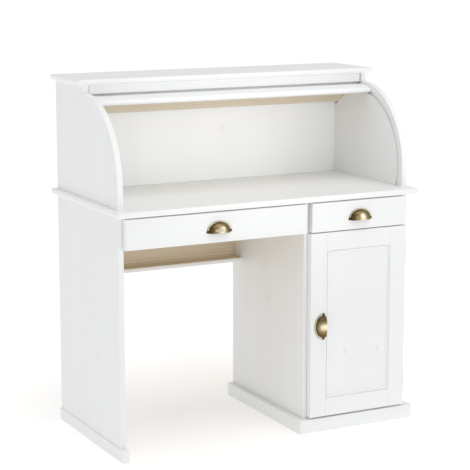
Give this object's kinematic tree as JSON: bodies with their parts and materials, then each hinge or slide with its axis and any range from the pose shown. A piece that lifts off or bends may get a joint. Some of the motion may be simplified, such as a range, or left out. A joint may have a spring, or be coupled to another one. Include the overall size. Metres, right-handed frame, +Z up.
{
  "type": "roll top desk",
  "caption": "White roll top desk: worktop on a leg panel and a cupboard pedestal, two drawers with cup pulls, panelled door, quarter-round hutch with a slatted curtain.",
  "frame": {"origin": "centre of the bounding box's bottom face, on the floor", "axes": "+Z up, +X to the pedestal side, -Y is the front with the drawers"},
  "size_m": [1.038, 0.537, 1.122],
  "materials": {
    "white_pine": "white stain under satin lacquer on solid pine, fine vertical grain",
    "natural_pine": "bare sanded pine with a few knots",
    "pine_plywood": "bare pine plywood",
    "antique_brass": "antique brass, polished with darkened hollows",
    "dark_screw": "bronzed screw head",
    "steel": "plain zinc-plated steel",
    "catch_plastic": "moulded white plastic"
  },
  "bodies": {
    "carcass": {"left_leg_panel": "white_pine", "left_foot": "white_pine", "pedestal_left_panel": "white_pine", "pedestal_right_panel": "white_pine", "pedestal_bottom": "white_pine", "pedestal_cross_rail": "white_pine", "pedestal_shelf": "white_pine", "plinth_front": "white_pine", "plinth_left": "white_pine", "plinth_right": "white_pine", "plinth_back": "white_pine", "worktop": "white_pine", "ledge_lip": "white_pine", "hutch_left_side": "white_pine", "hutch_right_side": "white_pine", "hutch_top": "white_pine", "hutch_front_rail": "white_pine", "curtain_baffle": "white_pine", "false_back": "white_pine", "shelf_supports": "natural_pine", "rear_board": "natural_pine", "rear_ledge": "natural_pine", "drawer_runners": "natural_pine", "false_back_battens": "natural_pine", "pedestal_back": "pine_plywood", "hutch_back": "pine_plywood", "hinge_frame_leaves": "antique_brass", "hinge_pins": "steel", "door_catch": "catch_plastic"},
    "curtain_front": {"curtain_leading_rail": "white_pine", "curtain_front_slats": "white_pine", "curtain_front_lining": "natural_pine"},
    "curtain_rear": {"curtain_rear_slats": "white_pine", "curtain_rear_lining": "natural_pine"},
    "wide_drawer": {"wide_drawer_front": "white_pine", "wide_drawer_left_side": "natural_pine", "wide_drawer_right_side": "natural_pine", "wide_drawer_back": "natural_pine", "wide_drawer_bottom": "pine_plywood", "wide_drawer_pull": "antique_brass", "wide_drawer_pull_screws": "dark_screw"},
    "small_drawer": {"small_drawer_front": "white_pine", "small_drawer_left_side": "natural_pine", "small_drawer_right_side": "natural_pine", "small_drawer_back": "natural_pine", "small_drawer_bottom": "pine_plywood", "small_drawer_pull": "antique_brass", "small_drawer_pull_screws": "dark_screw"},
    "door": {"door_left_stile": "white_pine", "door_right_stile": "white_pine", "door_top_rail": "white_pine", "door_bottom_rail": "white_pine", "door_panel": "white_pine", "door_bead": "white_pine", "door_pull": "antique_brass", "door_pull_screws": "dark_screw", "hinge_door_leaves": "antique_brass", "door_strike_plate": "steel"}
  },
  "joints": [
    {"name": "curtain_roll", "type": "hinge", "parent": "carcass", "child": "curtain_front", "pos_m": [0, 0.0355, 0.82], "axis": [1, 0, 0], "range_deg": [0, 87.5]},
    {"name": "curtain_rear_roll", "type": "hinge", "parent": "carcass", "child": "curtain_rear", "pos_m": [0, 0.0355, 0.82], "axis": [1, 0, 0], "range_deg": [0, 37.7]},
    {"name": "wide_drawer_slide", "type": "slide", "parent": "carcass", "child": "wide_drawer", "axis": [0, -1, 0], "range_m": [0, 0.3]},
    {"name": "small_drawer_slide", "type": "slide", "parent": "carcass", "child": "small_drawer", "axis": [0, -1, 0], "range_m": [0, 0.3]},
    {"name": "door_swing", "type": "hinge", "parent": "carcass", "child": "door", "pos_m": [0.487, -0.228, 0.35], "axis": [0, 0, 1], "range_deg": [0, 100]}
  ],
  "couplings": [
    {"joint": "curtain_rear_roll", "follows": "curtain_roll", "ratio": 0.43}
  ]
}
